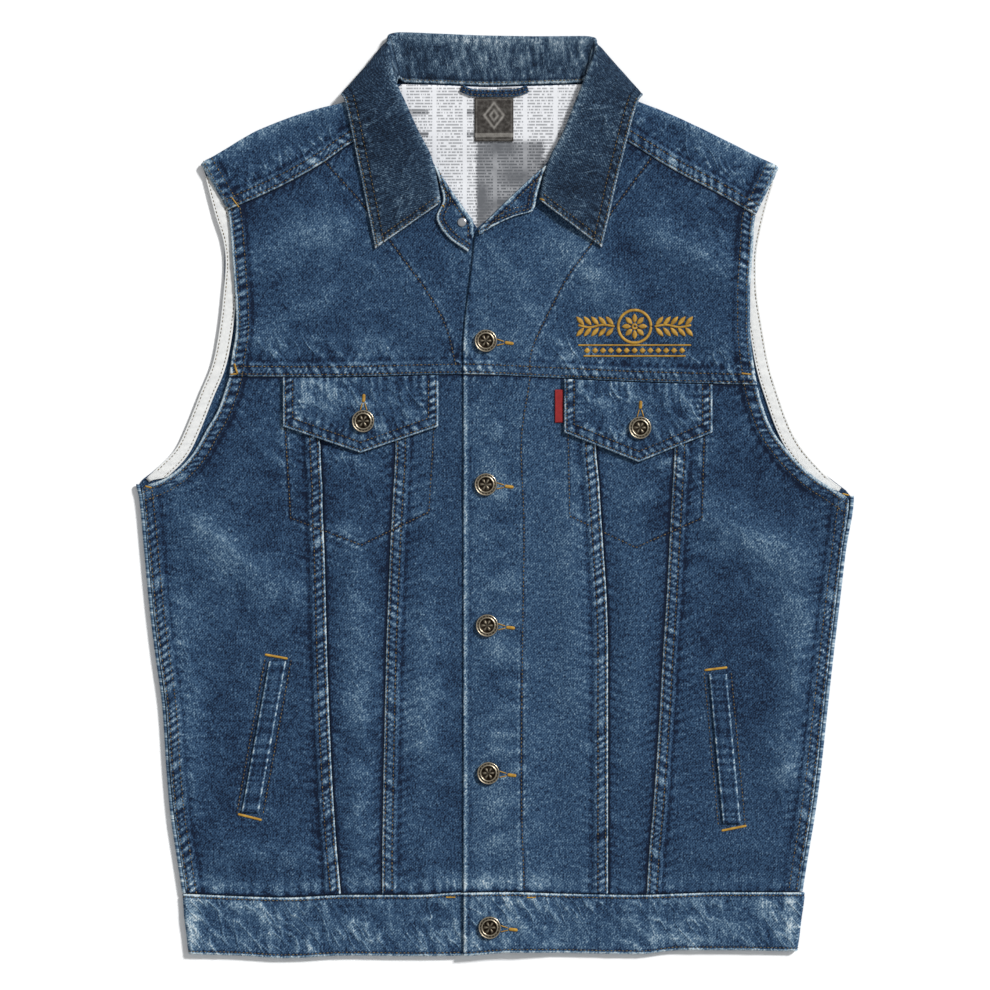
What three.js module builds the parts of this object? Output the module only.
import * as THREE from "three";

// A denim vest of trucker cut, buttoned up and laid flat on its back. Sizes are in millimetres.
// +X is the wearer's left, +Y runs from the hem to the collar, and z = 0 is the table.

// Cloth
const DENIM = 1.5;
const PRESSED = 2.0;
const WAISTBAND_CLOTH = 2.4;
const LINING_CLOTH = 1.0;
const TAPE = 0.9;
const GAP = 0.3;

// Heights of the layers, from the table up
const BACK_MIDDLE = DENIM / 2;
const LINING_UNDERSIDE = DENIM + GAP;
const FRONT_UNDERSIDE = LINING_UNDERSIDE + LINING_CLOTH + GAP;
const FOLD_RADIUS = (FRONT_UNDERSIDE + DENIM / 2 - BACK_MIDDLE) / 2;
const FOLD_REACH = FOLD_RADIUS + DENIM / 2;
const FOLD_STEPS = 4;

// Seams
const SEAM_BAND = 9.5;
const BAND_SLOPE = 1.6;
const BAND_RAISE = 0.8;
const SEAM_SHARE = GAP / 2;
const CROSS_SEAM_SHARE = 0.25;

// Front opening: the wearer's left front lies on the right one
const OVERLAP_EDGE = -24;
const UNDER_EDGE = 12;
const RAMP_START = 22;
const RAMP_END = 46;
const OVERLAP_RISE = DENIM + GAP;

// Side seams and back
const SIDE_LIP = 0.6;
const BACK_YOKE_SEAM = 150;
const BACK_SEAM_TOP = 104;
const BACK_SEAM_FOOT = 62;
const HEM_LINE = -303;

// The six front panels at each height y: x of the side edge, the two seams of each side
const FRONT_ROWS = [
  { y: 88, sideR: -202.5, outerR: -133, innerR: -76, innerL: 77, outerL: 136, sideL: 198 },
  { y: 66, sideR: -210, outerR: -133, innerR: -76, innerL: 77, outerL: 136, sideL: 204 },
  { y: 50, sideR: -219, outerR: -133, innerR: -76, innerL: 77, outerL: 136, sideL: 210.5 },
  { y: 34, sideR: -228, outerR: -132.5, innerR: -76, innerL: 77, outerL: 136, sideL: 222 },
  { y: 21, sideR: -239, outerR: -132, innerR: -76.5, innerL: 78, outerL: 135.5, sideL: 234 },
  { y: 12, sideR: -252, outerR: -131.5, innerR: -77, innerL: 79, outerL: 135, sideL: 245 },
  { y: 5, sideR: -268.5, outerR: -131, innerR: -77.5, innerL: 79.5, outerL: 134.5, sideL: 256 },
  { y: -4, sideR: -267.5, outerR: -131, innerR: -78, innerL: 80, outerL: 134, sideL: 269 },
  { y: -42, sideR: -263.7, outerR: -129.5, innerR: -80, innerL: 82.5, outerL: 132, sideL: 263.7 },
  { y: -80, sideR: -260.2, outerR: -128.5, innerR: -81.5, innerL: 85, outerL: 130, sideL: 259.2 },
  { y: -118, sideR: -255.7, outerR: -127.5, innerR: -83, innerL: 86, outerL: 127.5, sideL: 254.7 },
  { y: -163, sideR: -249.7, outerR: -126, innerR: -84, innerL: 86, outerL: 125, sideL: 249.7 },
  { y: -209, sideR: -246.7, outerR: -124, innerR: -85, innerL: 86, outerL: 122, sideL: 244.7 },
  { y: -243, sideR: -243.7, outerR: -122, innerR: -85.5, innerL: 86, outerL: 119.5, sideL: 240.2 },
  { y: -270, sideR: -239.7, outerR: -120, innerR: -86, innerL: 86, outerL: 117, sideL: 235.7 },
  { y: -303, sideR: -234.7, outerR: -117, innerR: -86, innerL: 86, outerL: 115, sideL: 230.7 },
];

// The back below its yoke: x of the armhole and, under the arm, of the folded side
const BACK_ROWS = [
  { y: 150, right: -207, left: 200 },
  { y: 125, right: -210, left: 204 },
  { y: 100, right: -215, left: 208.5 },
  { y: 78, right: -224, left: 215 },
  { y: 53, right: -234, left: 224 },
  { y: 35, right: -243, left: 234 },
  { y: 19, right: -259, left: 247 },
  { y: 8, right: -273, left: 261 },
  { y: -1, right: -271, left: 273 },
  { y: -42, right: -267, left: 267 },
  { y: -80, right: -263.5, left: 262.5 },
  { y: -118, right: -259, left: 258 },
  { y: -163, right: -253, left: 253 },
  { y: -209, right: -250, left: 248 },
  { y: -243, right: -247, left: 243.5 },
  { y: -270, right: -243, left: 239 },
  { y: -303, right: -238, left: 234 },
];
const UNDERARM_RIGHT = 8;
const UNDERARM_LEFT = -1;

// The back yoke from armhole to armhole: its foot, its top and, on a shoulder, its forward seam
const YOKE_COLUMNS = [
  { footX: -207, topX: -224, topY: 252, frontX: -203, frontY: 216.5 },
  { footX: -176, topX: -177, topY: 279, frontX: -162, frontY: 235 },
  { footX: -146, topX: -141, topY: 292, frontX: -131, frontY: 252.5 },
  { footX: -122, topX: -116, topY: 298.5, frontX: -110, frontY: 267 },
  { footX: -100, topX: -97, topY: 306.5, frontX: -90, frontY: 277 },
  { footX: -80, topX: -77, topY: 314.5, frontX: -69, frontY: 287 },
  { footX: -42, topX: -41, topY: 312 },
  { footX: -3, topX: -5, topY: 310.5 },
  { footX: 38, topX: 31, topY: 311.5 },
  { footX: 76, topX: 73, topY: 314.5, frontX: 68, frontY: 287 },
  { footX: 98, topX: 92, topY: 306.5, frontX: 87, frontY: 276.5 },
  { footX: 118, topX: 111, topY: 298.5, frontX: 105, frontY: 266 },
  { footX: 142, topX: 141, topY: 286, frontX: 136, frontY: 247 },
  { footX: 170, topX: 180, topY: 267.5, frontX: 166, frontY: 231 },
  { footX: 200, topX: 216, topY: 249, frontX: 198, frontY: 212.5 },
];
const YOKE_ROWS = [0, 0.15, 0.35, 0.52, 0.64, 0.76, 0.88, 1];
const ARMHOLE_HOLLOW = 7.5;

// Each front yoke from the chest seam up: its armhole edge and its inner edge, which ends in the rolled neck
const FRONT_YOKE_RIGHT = [
  { armX: -202, armY: 90, innerX: 12, innerY: 91 },
  { armX: -200, armY: 105, innerX: 12, innerY: 118 },
  { armX: -197, armY: 124, innerX: 12, innerY: 146 },
  { armX: -197, armY: 142, innerX: 8, innerY: 169 },
  { armX: -198, armY: 158, innerX: -3, innerY: 188 },
  { armX: -199, armY: 173, innerX: -14, innerY: 203.5 },
  { armX: -200, armY: 186, innerX: -29, innerY: 225 },
  { armX: -201, armY: 198, innerX: -46, innerY: 251 },
  { armX: -202, armY: 208, innerX: -59, innerY: 272 },
  { armX: -203, armY: 216, innerX: -69, innerY: 287 },
];
const FRONT_YOKE_LEFT = [
  { armX: 199, armY: 84, innerX: -24, innerY: 92 },
  { armX: 196, armY: 104, innerX: -24, innerY: 118 },
  { armX: 194, armY: 124, innerX: -21, innerY: 148 },
  { armX: 194, armY: 142, innerX: -17, innerY: 179 },
  { armX: 194, armY: 160, innerX: -14, innerY: 200.5 },
  { armX: 195, armY: 175, innerX: -3, innerY: 212 },
  { armX: 196, armY: 188, innerX: 14, innerY: 228.5 },
  { armX: 196.5, armY: 198, innerX: 38, innerY: 251 },
  { armX: 197, armY: 206, innerX: 54, innerY: 272 },
  { armX: 198, armY: 212, innerX: 68, innerY: 287 },
];

// How the columns of each front yoke are shared out from the armhole inwards
const YOKE_SHARES = {
  right: [0, 0.11, 0.22, 0.34, 0.46, 0.58, 0.7, 0.8, 0.9, 1],
  left: [0, 0.12, 0.24, 0.36, 0.48, 0.6, 0.71, 0.82, 0.92, 1],
};
const BAND_LAST_COLUMN = 6;

// Height of the chest seam across the fronts
const CHEST_SEAM = [
  { x: -205, y: 90 },
  { x: -126, y: 89.5 },
  { x: -27, y: 91.5 },
  { x: 43, y: 89 },
  { x: 107, y: 86 },
  { x: 200, y: 83.5 },
];

// The waistband, one strip that goes round both sides
const BAND_EDGES = [
  { x: -238, top: -303, bottom: -349 },
  { x: -195, top: -305, bottom: -350 },
  { x: -160, top: -306, bottom: -352 },
  { x: -112, top: -304, bottom: -350 },
  { x: -60, top: -304, bottom: -350.5 },
  { x: -24, top: -302, bottom: -350 },
  { x: 12, top: -301.5, bottom: -347.5 },
  { x: 50, top: -303, bottom: -348 },
  { x: 110, top: -304, bottom: -349 },
  { x: 140, top: -303, bottom: -346 },
  { x: 175, top: -302, bottom: -346 },
  { x: 236, top: -302, bottom: -347 },
];
const BAND_END_RIGHT = { x: -238, lean: 5 };
const BAND_END_LEFT = { x: 236, lean: -6 };
const BAND_RADIUS = (WAISTBAND_CLOTH + GAP) / 2;

// The collar from the wearer's right front end, round the neck, to the left one
const COLLAR_STATIONS = [
  { part: "front", neckX: -52, neckY: 229, rollX: -42, rollY: 221, edgeX: -91, edgeY: 187 },
  { part: "front", neckX: -54, neckY: 241, rollX: -44.5, rollY: 237, edgeX: -95.5, edgeY: 210 },
  { part: "front", neckX: -59, neckY: 257, rollX: -49, rollY: 256, edgeX: -101, edgeY: 237 },
  { part: "front", neckX: -68, neckY: 276, rollX: -59, rollY: 276, edgeX: -106.5, edgeY: 264 },
  { part: "front", neckX: -74, neckY: 294, rollX: -68, rollY: 296, edgeX: -111, edgeY: 286 },
  { part: "front", neckX: -75, neckY: 306, rollX: -77, rollY: 317, edgeX: -114.5, edgeY: 300.5 },
  { part: "high", neckX: -73, neckY: 316, rollX: -81.5, rollY: 342, edgeX: -116.8, edgeY: 303.6 },
  { part: "low", neckX: -72, neckY: 315.5, rollX: -80.5, rollY: 349, edgeX: -116.2, edgeY: 303.6 },
  { part: "back", neckX: -69, neckY: 313.4, rollX: -73, rollY: 351, edgeX: -112, edgeY: 301 },
  { part: "back", neckX: -41, neckY: 312.4, rollX: -44, rollY: 350, edgeX: -66, edgeY: 288 },
  { part: "back", neckX: -5, neckY: 311, rollX: -5, rollY: 348.5, edgeX: -4, edgeY: 283 },
  { part: "back", neckX: 31, neckY: 312, rollX: 36, rollY: 348, edgeX: 58, edgeY: 287 },
  { part: "back", neckX: 65, neckY: 313.4, rollX: 68, rollY: 348.2, edgeX: 107, edgeY: 300.5 },
  { part: "low", neckX: 68, neckY: 315.5, rollX: 76, rollY: 346.5, edgeX: 111.4, edgeY: 303.4 },
  { part: "high", neckX: 69, neckY: 316, rollX: 77, rollY: 341, edgeX: 112, edgeY: 303.4 },
  { part: "front", neckX: 70.5, neckY: 306, rollX: 69, rollY: 317, edgeX: 109, edgeY: 299.5 },
  { part: "front", neckX: 69, neckY: 292, rollX: 60, rollY: 294, edgeX: 104, edgeY: 284 },
  { part: "front", neckX: 61, neckY: 274, rollX: 52, rollY: 274, edgeX: 98.5, edgeY: 262 },
  { part: "front", neckX: 52, neckY: 257, rollX: 42, rollY: 255, edgeX: 92, edgeY: 236 },
  { part: "front", neckX: 47, neckY: 242, rollX: 37, rollY: 238, edgeX: 86.5, edgeY: 211 },
  { part: "front", neckX: 44, neckY: 231, rollX: 34.5, rollY: 223, edgeX: 81, edgeY: 188 },
];
const ROLL_RADIUS = 1.3;
const ROLL_STEPS = 4;
const LEAF_ROWS = [0.12, 0.3, 0.55, 0.8, 1];
const LEAF_CLEARANCE = 0.2;
const WELT_CLEARANCE = 0.2;
const FALL_CENTRE = 283;
const FALL_CURVE = 18;
const FALL_HALF_WIDTH = 112;
const FALL_RAMP = 45;
const FALL_LIFT = PRESSED + GAP;

// The rolled lapels: outer edge and rolled edge, from the neck down
const LAPEL_RIGHT = [
  { outerX: -46.5, outerY: 250, rollX: -44.8, rollY: 249.5 },
  { outerX: -42.5, outerY: 238, rollX: -37.5, rollY: 238 },
  { outerX: -39.5, outerY: 224, rollX: -29.5, rollY: 226 },
  { outerX: -44.5, outerY: 211, rollX: -22, rollY: 215.5 },
  { outerX: -37, outerY: 197, rollX: -16.5, rollY: 206.5 },
  { outerX: -20.5, outerY: 184.5, rollX: -16.3, rollY: 197 },
];
const LAPEL_LEFT = [
  { outerX: 39.5, outerY: 250, rollX: 37.8, rollY: 250 },
  { outerX: 35, outerY: 239, rollX: 27, rollY: 240.5 },
  { outerX: 32, outerY: 228, rollX: 17, rollY: 231 },
  { outerX: 29, outerY: 216, rollX: 8, rollY: 222.5 },
  { outerX: 15, outerY: 211.5, rollX: -1, rollY: 213.5 },
  { outerX: 0, outerY: 204.5, rollX: -7, rollY: 207.5 },
  { outerX: -12, outerY: 197, rollX: -12.5, rollY: 201.5 },
];

// Top edge of the lining, under the neck seam
const NECKLINE = [
  { x: -71, y: 312 },
  { x: -41, y: 311.3 },
  { x: -5, y: 309.8 },
  { x: 31, y: 310.8 },
  { x: 67, y: 312 },
];

// The yoke lining, as far as the neck shows it: its two edges at each height
const LINING_ROWS = [
  { y: 312, right: -71, left: 67 },
  { y: 299, right: -86, left: 82 },
  { y: 284, right: -92, left: 88 },
  { y: 268, right: -88, left: 84 },
  { y: 250, right: -80, left: 76 },
  { y: 215, right: -62, left: 58 },
  { y: 180, right: -45, left: 42 },
];

// The tape along the back of each armhole, inward from its cut edge
const ARMHOLE_RIGHT = [
  { x: -220.5, y: 242 },
  { x: -213, y: 213 },
  { x: -207, y: 194 },
  { x: -205, y: 176 },
  { x: -207, y: 150 },
  { x: -210, y: 125 },
  { x: -215, y: 100 },
  { x: -224, y: 78 },
  { x: -234, y: 53 },
  { x: -243, y: 35 },
  { x: -257, y: 20.6 },
];
const ARMHOLE_LEFT = [
  { x: 213, y: 239.5 },
  { x: 208, y: 224 },
  { x: 203, y: 204 },
  { x: 199.5, y: 185 },
  { x: 199, y: 168 },
  { x: 200, y: 150 },
  { x: 204, y: 125 },
  { x: 208.5, y: 100 },
  { x: 215, y: 78 },
  { x: 224, y: 53 },
  { x: 234, y: 35 },
  { x: 252, y: 14.8 },
];
const TAPE_WIDTH = 10.5;

// Chest flaps, side welts and the small pieces
const FLAPS = [
  { name: "flap_right", left: -161, right: -43, point: -102, side: 52, tip: 32 },
  { name: "flap_left", left: 52.5, right: 165, point: 109, side: 47.5, tip: 25 },
];
const WELTS = [
  { name: "welt_right", topX: -158.5, topY: -126, footX: -179.5, footY: -241, width: -13 },
  { name: "welt_left", topX: 162.5, topY: -136, footX: 173, footY: -249.5, width: 13.5 },
];
const SIDE_TAB = { left: 45.5, right: 51.8, top: 80, bottom: 55 };
const NECK_LABEL = { left: -15.5, right: 14, top: 301.8, bottom: 268.5 };
const HANGER_LOOP = [
  { x: -27, y: 306.5 },
  { x: -20, y: 303.4 },
  { x: -12, y: 302.4 },
  { x: 12, y: 302.4 },
  { x: 19, y: 303.4 },
  { x: 26, y: 306 },
];
const LOOP_WIDTH = 5.6;
const BUTTON_RADIUS = 8.5;
const BUTTON_PROFILE = [
  { radius: 0, height: 0 },
  { radius: 0.68, height: 0 },
  { radius: 1, height: 1.1 },
  { radius: 0.96, height: 2.4 },
  { radius: 0.8, height: 2.6 },
  { radius: 0.7, height: 1.9 },
  { radius: 0, height: 2.3 },
];
const BUTTON_SIDES = 18;
const BUTTONS = [
  { name: "button_1", x: -7, y: 117 },
  { name: "button_2", x: -7, y: 8 },
  { name: "button_3", x: -6, y: -99 },
  { name: "button_4", x: -5, y: -211 },
  { name: "button_band", x: -4, y: -328 },
  { name: "button_flap_right", x: -100, y: 56 },
  { name: "button_flap_left", x: 110, y: 51 },
];
const TACK = { x: -25, y: 207, radius: 3.5, height: 1.1 };

// Soft folds in the fronts: a ridge from one point to the other, its half width and its height
const FOLDS = [
  { fromX: -185, fromY: 178, toX: -120, toY: 205, width: 15, height: 1.5 },
  { fromX: -178, fromY: 122, toX: -130, toY: 150, width: 14, height: 1.2 },
  { fromX: 120, fromY: 200, toX: 178, toY: 168, width: 15, height: 1.6 },
  { fromX: 150, fromY: 128, toX: 183, toY: 112, width: 14, height: 1.1 },
  { fromX: 60, fromY: 190, toX: 96, toY: 150, width: 16, height: 1.0 },
  { fromX: -222, fromY: -30, toX: -168, toY: -70, width: 18, height: 1.8 },
  { fromX: -240, fromY: -95, toX: -232, toY: -215, width: 15, height: 1.6 },
  { fromX: -106, fromY: -40, toX: -106, toY: -170, width: 16, height: 1.3 },
  { fromX: -106, fromY: -215, toX: -102, toY: -270, width: 14, height: 1.1 },
  { fromX: -52, fromY: -60, toX: -56, toY: -190, width: 15, height: 1.2 },
  { fromX: 56, fromY: -20, toX: 60, toY: -150, width: 15, height: 1.3 },
  { fromX: 106, fromY: -60, toX: 104, toY: -200, width: 15, height: 1.3 },
  { fromX: 168, fromY: -20, toX: 226, toY: -50, width: 18, height: 1.8 },
  { fromX: 232, fromY: -90, toX: 222, toY: -210, width: 15, height: 1.7 },
  { fromX: 150, fromY: -270, toX: 205, toY: -262, width: 15, height: 1.1 },
  { fromX: -205, fromY: -268, toX: -150, toY: -272, width: 15, height: 1.1 },
];

// Materials
const denim = new THREE.MeshStandardMaterial({ color: 0x3c526d, roughness: 0.9, metalness: 0 });
const darkDenim = new THREE.MeshStandardMaterial({ color: 0x2f4157, roughness: 0.9, metalness: 0 });
const liningCloth = new THREE.MeshStandardMaterial({ color: 0xd2d3d5, roughness: 0.85, metalness: 0 });
const labelCloth = new THREE.MeshStandardMaterial({ color: 0x3b3835, roughness: 0.7, metalness: 0 });
const tabCloth = new THREE.MeshStandardMaterial({ color: 0x8e2a2c, roughness: 0.75, metalness: 0 });
const brass = new THREE.MeshStandardMaterial({ color: 0x7d7059, roughness: 0.4, metalness: 1 });
const silver = new THREE.MeshStandardMaterial({ color: 0xb9bcc0, roughness: 0.3, metalness: 1 });

const vest = new THREE.Group();
const UP = new THREE.Vector3(0, 0, 1);

function clamp01(value) {
  return Math.min(1, Math.max(0, value));
}

function smooth(value) {
  const t = clamp01(value);
  return t * t * (3 - 2 * t);
}

function mix(a, b, share) {
  return a + (b - a) * share;
}

// Reads a table whose rows rise in x, straight between its rows.
function readTable(table, x, column) {
  let i = 0;
  while (i < table.length - 2 && x > table[i + 1].x) {
    i += 1;
  }
  const share = clamp01((x - table[i].x) / (table[i + 1].x - table[i].x));
  return mix(table[i][column], table[i + 1][column], share);
}

// How far the layers over the collar's back fall are lifted at a point.
function fallLift(x, y) {
  const edge = FALL_CENTRE + FALL_CURVE * (x / FALL_HALF_WIDTH) ** 2;
  return FALL_LIFT * smooth((y - edge + FALL_RAMP) / (FALL_RAMP - 3));
}

// Height of the soft folds at a point of the fronts.
function foldHeight(x, y) {
  let height = 0;
  for (const fold of FOLDS) {
    const runX = fold.toX - fold.fromX;
    const runY = fold.toY - fold.fromY;
    const along = ((x - fold.fromX) * runX + (y - fold.fromY) * runY) / (runX * runX + runY * runY);
    const nearest = clamp01(along);
    const away = Math.hypot(x - fold.fromX - nearest * runX, y - fold.fromY - nearest * runY);
    height += fold.height * Math.exp(-((away / fold.width) ** 2));
  }
  return height;
}

// Underside of a front at a point. The left front rises onto the right one at the opening.
function frontUnderside(x, y, side) {
  const ramp = side === "left" ? OVERLAP_RISE * clamp01((RAMP_END - x) / (RAMP_END - RAMP_START)) : 0;
  return FRONT_UNDERSIDE + fallLift(x, y) + foldHeight(x, y) + ramp;
}

function frontTop(x, y, side) {
  return frontUnderside(x, y, side) + DENIM;
}

function chestSeam(x) {
  return readTable(CHEST_SEAM, x, "y");
}

// Height of the forward shoulder seam, where the back yoke meets a front yoke.
function forwardSeam(x) {
  const seam = YOKE_COLUMNS.filter((column) => column.frontX !== undefined && column.frontX * x > 0);
  return readTable(seam.map((column) => ({ x: column.frontX, y: column.frontY })), x, "y");
}

// Top edge of the body panels' foot, just clear of the waistband.
function waistSeam(x) {
  return readTable(BAND_EDGES, x, "top") + 2 * CROSS_SEAM_SHARE;
}

function gridNormal(grid, i, j) {
  const rows = grid.length - 1;
  const columns = grid[0].length - 1;
  const alongRow = grid[i][Math.min(j + 1, columns)].clone().sub(grid[i][Math.max(j - 1, 0)]);
  const acrossRows = grid[Math.min(i + 1, rows)][j].clone().sub(grid[Math.max(i - 1, 0)][j]);
  return alongRow.cross(acrossRows).normalize();
}

function signedVolume(points, index) {
  let volume = 0;
  const cross = new THREE.Vector3();
  for (let i = 0; i < index.length; i += 3) {
    cross.crossVectors(points[index[i + 1]], points[index[i + 2]]);
    volume += points[index[i]].dot(cross) / 6;
  }
  return volume;
}

// Adds a closed piece of cloth round a grid of middle points. Cells that present() refuses stay empty.
// An upright wall is thickened along z, another along its own normals. raise() lifts the top face alone.
function addCloth(name, grid, thickness, material, options = {}) {
  const { upright = true, present = () => true, raise = () => 0 } = options;
  const rows = grid.length;
  const columns = grid[0].length;
  const points = [];
  for (const share of [1, -1]) {
    for (let i = 0; i < rows; i += 1) {
      for (let j = 0; j < columns; j += 1) {
        const normal = upright ? UP : gridNormal(grid, i, j);
        const reach = (share * thickness) / 2 + (share > 0 ? raise(i, j) : 0);
        points.push(grid[i][j].clone().addScaledVector(normal, reach));
      }
    }
  }
  const index = [];
  const quad = (a, b, c, d) => index.push(a, b, c, a, c, d);
  const isCloth = (i, j) => i >= 0 && j >= 0 && i < rows - 1 && j < columns - 1 && present(i, j);
  const under = rows * columns;
  for (let i = 0; i < rows - 1; i += 1) {
    for (let j = 0; j < columns - 1; j += 1) {
      if (!isCloth(i, j)) continue;
      const ring = [i * columns + j, i * columns + j + 1, (i + 1) * columns + j + 1, (i + 1) * columns + j];
      const beyond = [isCloth(i - 1, j), isCloth(i, j + 1), isCloth(i + 1, j), isCloth(i, j - 1)];
      quad(...ring);
      quad(...ring.map((k) => k + under).reverse());
      for (let k = 0; k < 4; k += 1) {
        const next = ring[(k + 1) % 4];
        if (!beyond[k]) quad(next, ring[k], ring[k] + under, next + under);
      }
    }
  }
  if (signedVolume(points, index) < 0) {
    index.reverse();
  }
  const geometry = new THREE.BufferGeometry().setFromPoints(points);
  geometry.setIndex(index);
  geometry.computeVertexNormals();
  const mesh = new THREE.Mesh(geometry, material);
  mesh.name = name;
  vest.add(mesh);
}

// Shares of the way across a piece, with a seam band at its start or its end and even steps between.
function bandShares(length, steps, startBand, endBand) {
  const start = startBand ? (SEAM_BAND + BAND_SLOPE) / length : 0;
  const end = endBand ? 1 - (SEAM_BAND + BAND_SLOPE) / length : 1;
  const shares = startBand ? [0, SEAM_BAND / length] : [];
  for (let k = 0; k <= steps; k += 1) {
    shares.push(mix(start, end, k / steps));
  }
  return endBand ? [...shares, 1 - SEAM_BAND / length, 1] : shares;
}

// Adds a front panel between two lines of FRONT_ROWS, from the chest seam to the waistband.
function addFrontPanel(name, side, fromX, toX, steps, startBand, endBand) {
  const last = FRONT_ROWS.length - 1;
  const grid = FRONT_ROWS.map((row, i) => {
    const start = fromX(row);
    const end = toX(row);
    return bandShares(end - start, steps, startBand, endBand).map((share) => {
      const x = mix(start, end, share);
      const atChest = i === 0 ? chestSeam(x) - CROSS_SEAM_SHARE : row.y;
      const y = i === last ? waistSeam(x) : atChest;
      return new THREE.Vector3(x, y, frontUnderside(x, y, side) + DENIM / 2);
    });
  });
  const columns = grid[0].length;
  const raise = (i, j) => ((startBand && j < 2) || (endBand && j > columns - 3) ? BAND_RAISE : 0);
  addCloth(name, grid, DENIM, denim, { raise });
}

function addFrontPanels() {
  const half = SEAM_SHARE;
  addFrontPanel("front_side_right", "right", (r) => r.sideR, (r) => r.outerR - half, 5, false, true);
  addFrontPanel("front_middle_right", "right", (r) => r.outerR + half, (r) => r.innerR - half, 3);
  addFrontPanel("front_centre_right", "right", (r) => r.innerR + half, () => UNDER_EDGE, 4, true, false);
  addFrontPanel("front_centre_left", "left", () => OVERLAP_EDGE, (r) => r.innerL - half, 5, false, true);
  addFrontPanel("front_middle_left", "left", (r) => r.innerL + half, (r) => r.outerL - half, 3);
  addFrontPanel("front_side_left", "left", (r) => r.outerL + half, (r) => r.sideL, 5, true, false);
}

// Adds a front yoke between its armhole and its inner edge, with the chest seam's band along its foot.
function addFrontYoke(name, side, table) {
  const shares = YOKE_SHARES[side];
  const rise = table[1].armY - table[0].armY;
  const bandRow = (reach) => ({
    armX: mix(table[0].armX, table[1].armX, reach / rise),
    armY: table[0].armY + reach,
    innerX: table[0].innerX,
    innerY: table[0].innerY + reach,
  });
  const rows = [table[0], bandRow(SEAM_BAND), bandRow(SEAM_BAND + BAND_SLOPE), ...table.slice(1)];
  const last = rows.length - 1;
  const grid = rows.map((row, i) =>
    shares.map((share) => {
      const x = mix(row.armX, row.innerX, share);
      const flatY = i === last ? forwardSeam(x) - 2 * CROSS_SEAM_SHARE : mix(row.armY, row.innerY, share);
      const y = i === 0 ? chestSeam(x) + CROSS_SEAM_SHARE : flatY;
      return new THREE.Vector3(x, y, frontUnderside(x, y, side) + DENIM / 2);
    }),
  );
  const lastRaised = side === "right" ? BAND_LAST_COLUMN : shares.length - 1;
  addCloth(name, grid, DENIM, denim, { raise: (i, j) => (i < 2 && j <= lastRaised ? BAND_RAISE : 0) });
}

// Points of a half turn that starts at a point, bulges by its radius and ends twice the radius higher.
function halfTurn(start, outX, outY, radius, steps) {
  return Array.from({ length: steps }, (_, k) => {
    const angle = (Math.PI * (k + 1)) / steps;
    const out = radius * Math.sin(angle);
    const rise = radius * (1 - Math.cos(angle));
    return new THREE.Vector3(start.x + outX * out, start.y + outY * out, start.z + rise);
  });
}

function backSeam(y) {
  return mix(BACK_SEAM_FOOT, BACK_SEAM_TOP, (y - HEM_LINE) / (BACK_YOKE_SEAM - HEM_LINE));
}

function addBackCentre() {
  const shares = [0, 0.25, 0.5, 0.75, 1];
  const grid = BACK_ROWS.map((row, i) => {
    const half = backSeam(row.y) - SEAM_SHARE;
    return shares.map((share) => {
      const x = mix(-half, half, share);
      const y = i === BACK_ROWS.length - 1 ? waistSeam(x) : row.y - (i === 0 ? GAP : 0);
      return new THREE.Vector3(x, y, BACK_MIDDLE);
    });
  });
  addCloth("back_centre", grid, DENIM, denim);
}

// Adds a back side panel. Under the arm its edge folds up and over to meet the front.
function addBackSide(side) {
  const sign = side === "left" ? 1 : -1;
  const underarm = side === "left" ? UNDERARM_LEFT : UNDERARM_RIGHT;
  const flatShares = [0, 0.3, 0.6, 0.85, 1];
  const last = BACK_ROWS.length - 1;
  const grid = BACK_ROWS.map((row, i) => {
    const inner = sign * (backSeam(row.y) + SEAM_SHARE);
    const edge = row[side] - (row.y > underarm ? 0 : sign * FOLD_REACH);
    const flat = flatShares.map((share) => {
      const x = mix(inner, edge, share);
      const y = i === last ? waistSeam(x) : row.y - (i === 0 ? GAP : 0);
      return new THREE.Vector3(x, y, BACK_MIDDLE);
    });
    const turn = halfTurn(flat.at(-1), sign, 0, FOLD_RADIUS, FOLD_STEPS);
    const lip = turn.at(-1).clone();
    lip.x -= sign * SIDE_LIP;
    return [...flat, ...turn, lip];
  });
  const present = (i, j) => j < flatShares.length - 1 || BACK_ROWS[i].y <= underarm;
  addCloth("back_side_" + side, grid, DENIM, denim, { upright: false, present });
}

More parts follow.
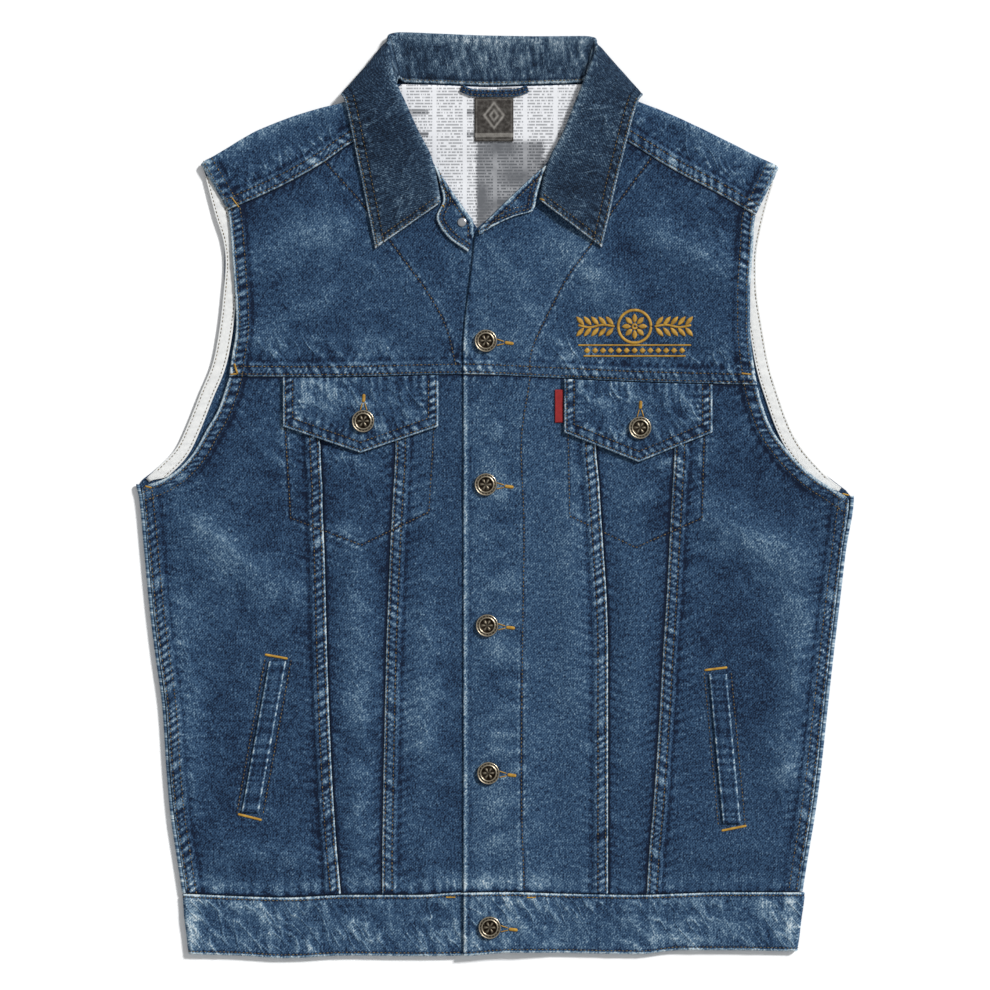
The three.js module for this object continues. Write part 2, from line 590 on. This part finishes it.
// Adds the back yoke, which folds over both shoulders to the forward seams.
function addBackYoke() {
  const lastColumn = YOKE_COLUMNS.length - 1;
  const foot = BACK_YOKE_SEAM + GAP;
  const columns = YOKE_COLUMNS.map((column, j) => {
    const onShoulder = column.frontX !== undefined;
    const before = YOKE_COLUMNS[Math.max(0, j - 1)];
    const after = YOKE_COLUMNS[Math.min(lastColumn, j + 1)];
    const from = before.frontX === undefined ? column : before;
    const to = after.frontX === undefined ? column : after;
    const out = new THREE.Vector2(from.topY - to.topY, to.topX - from.topX).normalize();
    const reach = onShoulder ? FOLD_REACH : 0;
    const topX = column.topX - out.x * reach;
    const topY = column.topY - out.y * reach - (onShoulder ? 0 : SEAM_SHARE);
    const hollow = j === 0 ? ARMHOLE_HOLLOW : j === lastColumn ? -ARMHOLE_HOLLOW : 0;
    const flat = YOKE_ROWS.map((share) => {
      const x = mix(column.footX, topX, share) + hollow * Math.sin(Math.PI * share);
      const y = mix(foot, topY, share);
      return new THREE.Vector3(x, y, fallLift(x, y) + BACK_MIDDLE);
    });
    const turn = halfTurn(flat.at(-1), out.x, out.y, FOLD_RADIUS, FOLD_STEPS);
    const forward = [0.35, 0.7, 1].map((share) => {
      const x = mix(topX, onShoulder ? column.frontX : topX, share);
      const y = mix(topY, onShoulder ? column.frontY : topY - 1, share);
      return new THREE.Vector3(x, y, frontUnderside(x, y) + DENIM / 2);
    });
    return [...flat, ...turn, ...forward];
  });
  const grid = columns[0].map((_, i) => columns.map((column) => column[i]));
  const onShoulder = (j) => YOKE_COLUMNS[j].frontX !== undefined && YOKE_COLUMNS[j + 1].frontX !== undefined;
  const present = (i, j) => i < YOKE_ROWS.length - 1 || onShoulder(j);
  addCloth("back_yoke", grid, DENIM, denim, { upright: false, present });
}

function bandPoint(x, share, z) {
  const y = mix(readTable(BAND_EDGES, x, "top"), readTable(BAND_EDGES, x, "bottom"), share);
  return new THREE.Vector3(x, y, z);
}

// Adds the waistband: left front, left side, back, right side and right front in one strip.
function addWaistband() {
  const rows = [0, 0.2, 0.5, 0.8, 1];
  const backZ = WAISTBAND_CLOTH / 2;
  const frontZ = backZ + 2 * BAND_RADIUS;
  const reach = BAND_RADIUS + WAISTBAND_CLOTH / 2;
  const grid = rows.map((share) => {
    const leftEnd = BAND_END_LEFT.x + BAND_END_LEFT.lean * share - reach;
    const rightEnd = BAND_END_RIGHT.x + BAND_END_RIGHT.lean * share + reach;
    const rise = (x) => (WAISTBAND_CLOTH + GAP) * clamp01((RAMP_END - x) / (RAMP_END - RAMP_START));
    const stations = BAND_EDGES.map((edge) => edge.x).slice(1, -1);
    const pastRamp = stations.filter((x) => x > RAMP_END);
    const leftFront = [OVERLAP_EDGE, UNDER_EDGE, RAMP_START, RAMP_END, ...pastRamp, leftEnd];
    const back = [...stations.toReversed(), rightEnd];
    const rightFront = stations.filter((x) => x <= UNDER_EDGE);
    const front = (x, lift) => bandPoint(x, share, frontZ + lift);
    const leftFoot = bandPoint(leftEnd, share, backZ);
    const rightFoot = bandPoint(rightEnd, share, backZ);
    const leftTurn = halfTurn(leftFoot, 1, 0, BAND_RADIUS, FOLD_STEPS).reverse().slice(1);
    const rightTurn = halfTurn(rightFoot, -1, 0, BAND_RADIUS, FOLD_STEPS);
    return [
      ...leftFront.map((x) => front(x, rise(x))),
      ...leftTurn,
      leftFoot,
      ...back.map((x) => bandPoint(x, share, backZ)),
      ...rightTurn,
      ...rightFront.map((x) => front(x, 0)),
    ];
  });
  addCloth("waistband", grid, WAISTBAND_CLOTH, denim, { upright: false });
}

// Middle points of the collar at one station: up its stand, round the roll and down its fall.
function collarSection(station) {
  const { part, neckX, neckY, rollX, rollY, edgeX, edgeY } = station;
  const side = neckX > 0 ? "left" : "right";
  const seat = GAP + PRESSED / 2;
  const onFront = seat + Math.max(frontTop(neckX, neckY, side), frontTop(rollX, rollY, side));
  const standZ = { front: onFront, high: 7.2, low: 5, back: FALL_LIFT + 1.4 }[part];
  const rollZ = { front: standZ + 2 * ROLL_RADIUS, high: 8.2, low: 3, back: PRESSED / 2 }[part];
  const onEdge = frontTop(edgeX, edgeY, side) + seat + LEAF_CLEARANCE;
  const edgeZ = { front: onEdge, high: 6.6, low: 2.4, back: PRESSED / 2 }[part];
  const out = new THREE.Vector2(rollX - neckX, rollY - neckY);
  const back = new THREE.Vector2(rollX - edgeX, rollY - edgeY).normalize();
  const away = part === "front" ? back : out.clone().normalize();
  const start = new THREE.Vector3(rollX - away.x * ROLL_RADIUS, rollY - away.y * ROLL_RADIUS, standZ);
  const stand = [0, 0.5].map(
    (share) => new THREE.Vector3(mix(neckX, start.x, share), mix(neckY, start.y, share), standZ),
  );
  const turn = Array.from({ length: ROLL_STEPS + 1 }, (_, k) => {
    const angle = (Math.PI * k) / ROLL_STEPS;
    const bulge = ROLL_RADIUS * Math.sin(angle);
    const z = mix(standZ, rollZ, (1 - Math.cos(angle)) / 2);
    return new THREE.Vector3(start.x + away.x * bulge, start.y + away.y * bulge, z);
  });
  const end = turn.at(-1);
  const fall = LEAF_ROWS.map((share) => {
    const z = mix(rollZ, edgeZ, part === "front" ? smooth(share * 0.9 + 0.1) * share : share);
    return new THREE.Vector3(mix(end.x, edgeX, share), mix(end.y, edgeY, share), z);
  });
  return [...stand, ...turn, ...fall];
}

function addCollar() {
  const sections = COLLAR_STATIONS.map(collarSection);
  const grid = sections[0].map((_, i) => sections.map((section) => section[i]));
  addCloth("collar", grid, PRESSED, darkDenim, { upright: false });
}

// Adds the turned-back top corner of a front, which lies on that front.
function addLapel(name, side, table) {
  const shares = [0, 0.5, 1];
  const grid = table.map((row) =>
    shares.map((share) => {
      const x = mix(row.outerX, row.rollX, share);
      const y = mix(row.outerY, row.rollY, share);
      return new THREE.Vector3(x, y, frontTop(x, y, side) + GAP + PRESSED / 2);
    }),
  );
  addCloth(name, grid, PRESSED, denim);
}

function addLining() {
  const shares = [0, 0.2, 0.4, 0.6, 0.8, 1];
  const grid = LINING_ROWS.map((row, i) =>
    shares.map((share) => {
      const x = mix(row.right, row.left, share);
      const y = i === 0 ? readTable(NECKLINE, x, "y") : row.y;
      return new THREE.Vector3(x, y, fallLift(x, y) + LINING_UNDERSIDE + LINING_CLOTH / 2);
    }),
  );
  addCloth("yoke_lining", grid, LINING_CLOTH, liningCloth);
}

// Adds a strip of even width that lies on one side of a path. A negative width lies on the other side.
function addStrip(name, path, width, thickness, height, material) {
  const grid = path.map((point, i) => {
    const before = path[Math.max(0, i - 1)];
    const after = path[Math.min(path.length - 1, i + 1)];
    const across = new THREE.Vector2(before.y - after.y, after.x - before.x).normalize();
    return [0, 0.5, 1].map((share) => {
      const x = point.x + across.x * width * share;
      const y = point.y + across.y * width * share;
      return new THREE.Vector3(x, y, height(x, y) + thickness / 2);
    });
  });
  addCloth(name, grid, thickness, material);
}

function addFlap(flap) {
  const xs = [0, 0.25, 0.5, 0.75, 1].map((share) =>
    share < 0.5 ? mix(flap.left, flap.point, share * 2) : mix(flap.point, flap.right, share * 2 - 1),
  );
  const onPanels = DENIM + BAND_RAISE + GAP + PRESSED / 2;
  const grid = [0, 0.33, 0.67, 1].map((share) =>
    xs.map((x) => {
      const reach = x < flap.point ? flap.point - flap.left : flap.right - flap.point;
      const foot = mix(flap.tip, flap.side, Math.abs(x - flap.point) / reach);
      const y = mix(chestSeam(x) - 0.5, foot, share);
      return new THREE.Vector3(x, y, FRONT_UNDERSIDE + foldHeight(x, y) + onPanels);
    }),
  );
  addCloth(flap.name, grid, PRESSED, denim);
}

function addWelt(welt) {
  const rows = [0, 0.25, 0.5, 0.75, 1];
  const grid = rows.map((share) =>
    [0, 0.5, 1].map((across) => {
      const x = mix(welt.topX, welt.footX, share) + welt.width * across;
      const y = mix(welt.topY, welt.footY, share);
      return new THREE.Vector3(x, y, frontTop(x, y) + GAP + WELT_CLEARANCE + DENIM / 2);
    }),
  );
  addCloth(welt.name, grid, DENIM, denim);
}

function addRectangle(name, box, thickness, height, material) {
  const grid = [0, 0.5, 1].map((down) =>
    [0, 1].map((across) => {
      const x = mix(box.left, box.right, across);
      const y = mix(box.top, box.bottom, down);
      return new THREE.Vector3(x, y, height(x, y) + thickness / 2);
    }),
  );
  addCloth(name, grid, thickness, material);
}

function addTurned(name, profile, sides, x, y, z, material) {
  const points = profile.map((p) => new THREE.Vector2(p.radius, p.height));
  const geometry = new THREE.LatheGeometry(points, sides);
  geometry.rotateX(Math.PI / 2);
  const mesh = new THREE.Mesh(geometry, material);
  mesh.name = name;
  mesh.position.set(x, y, z);
  vest.add(mesh);
}

function buttonSeat(button) {
  if (button.name === "button_band") {
    return WAISTBAND_CLOTH * 2 + GAP + WAISTBAND_CLOTH + GAP;
  }
  if (button.name.startsWith("button_flap")) {
    return FRONT_UNDERSIDE + foldHeight(button.x, button.y) + DENIM + BAND_RAISE + GAP + PRESSED;
  }
  return frontTop(button.x, button.y, "left");
}

function addButtons() {
  const profile = BUTTON_PROFILE.map((p) => ({ radius: p.radius * BUTTON_RADIUS, height: p.height }));
  for (const button of BUTTONS) {
    addTurned(button.name, profile, BUTTON_SIDES, button.x, button.y, buttonSeat(button) + GAP, brass);
  }
  const tackProfile = [
    { radius: 0, height: 0 },
    { radius: TACK.radius, height: 0 },
    { radius: TACK.radius * 0.8, height: TACK.height },
    { radius: 0, height: TACK.height },
  ];
  const tackSeat = frontTop(TACK.x, TACK.y, "right") + GAP + PRESSED + GAP;
  addTurned("top_tack", tackProfile, BUTTON_SIDES, TACK.x, TACK.y, tackSeat, silver);
}

const onLining = (x, y) => fallLift(x, y) + LINING_UNDERSIDE + LINING_CLOTH + GAP;
const onBack = () => LINING_UNDERSIDE;

addBackCentre();
addBackSide("right");
addBackSide("left");
addBackYoke();
addLining();
addStrip("armhole_tape_right", ARMHOLE_RIGHT, TAPE_WIDTH, TAPE, onBack, liningCloth);
addStrip("armhole_tape_left", ARMHOLE_LEFT, -TAPE_WIDTH, TAPE, onBack, liningCloth);
addFrontPanels();
addFrontYoke("front_yoke_right", "right", FRONT_YOKE_RIGHT);
addFrontYoke("front_yoke_left", "left", FRONT_YOKE_LEFT);
addLapel("lapel_right", "right", LAPEL_RIGHT);
addLapel("lapel_left", "left", LAPEL_LEFT);
addWaistband();
addCollar();
addStrip("hanger_loop", HANGER_LOOP, LOOP_WIDTH, DENIM, onLining, denim);
addRectangle("neck_label", NECK_LABEL, TAPE, onLining, labelCloth);
FLAPS.forEach(addFlap);
WELTS.forEach(addWelt);
addRectangle("side_tab", SIDE_TAB, TAPE, (x, y) => frontTop(x, y, "left") + GAP, tabCloth);
addButtons();

export default vest;
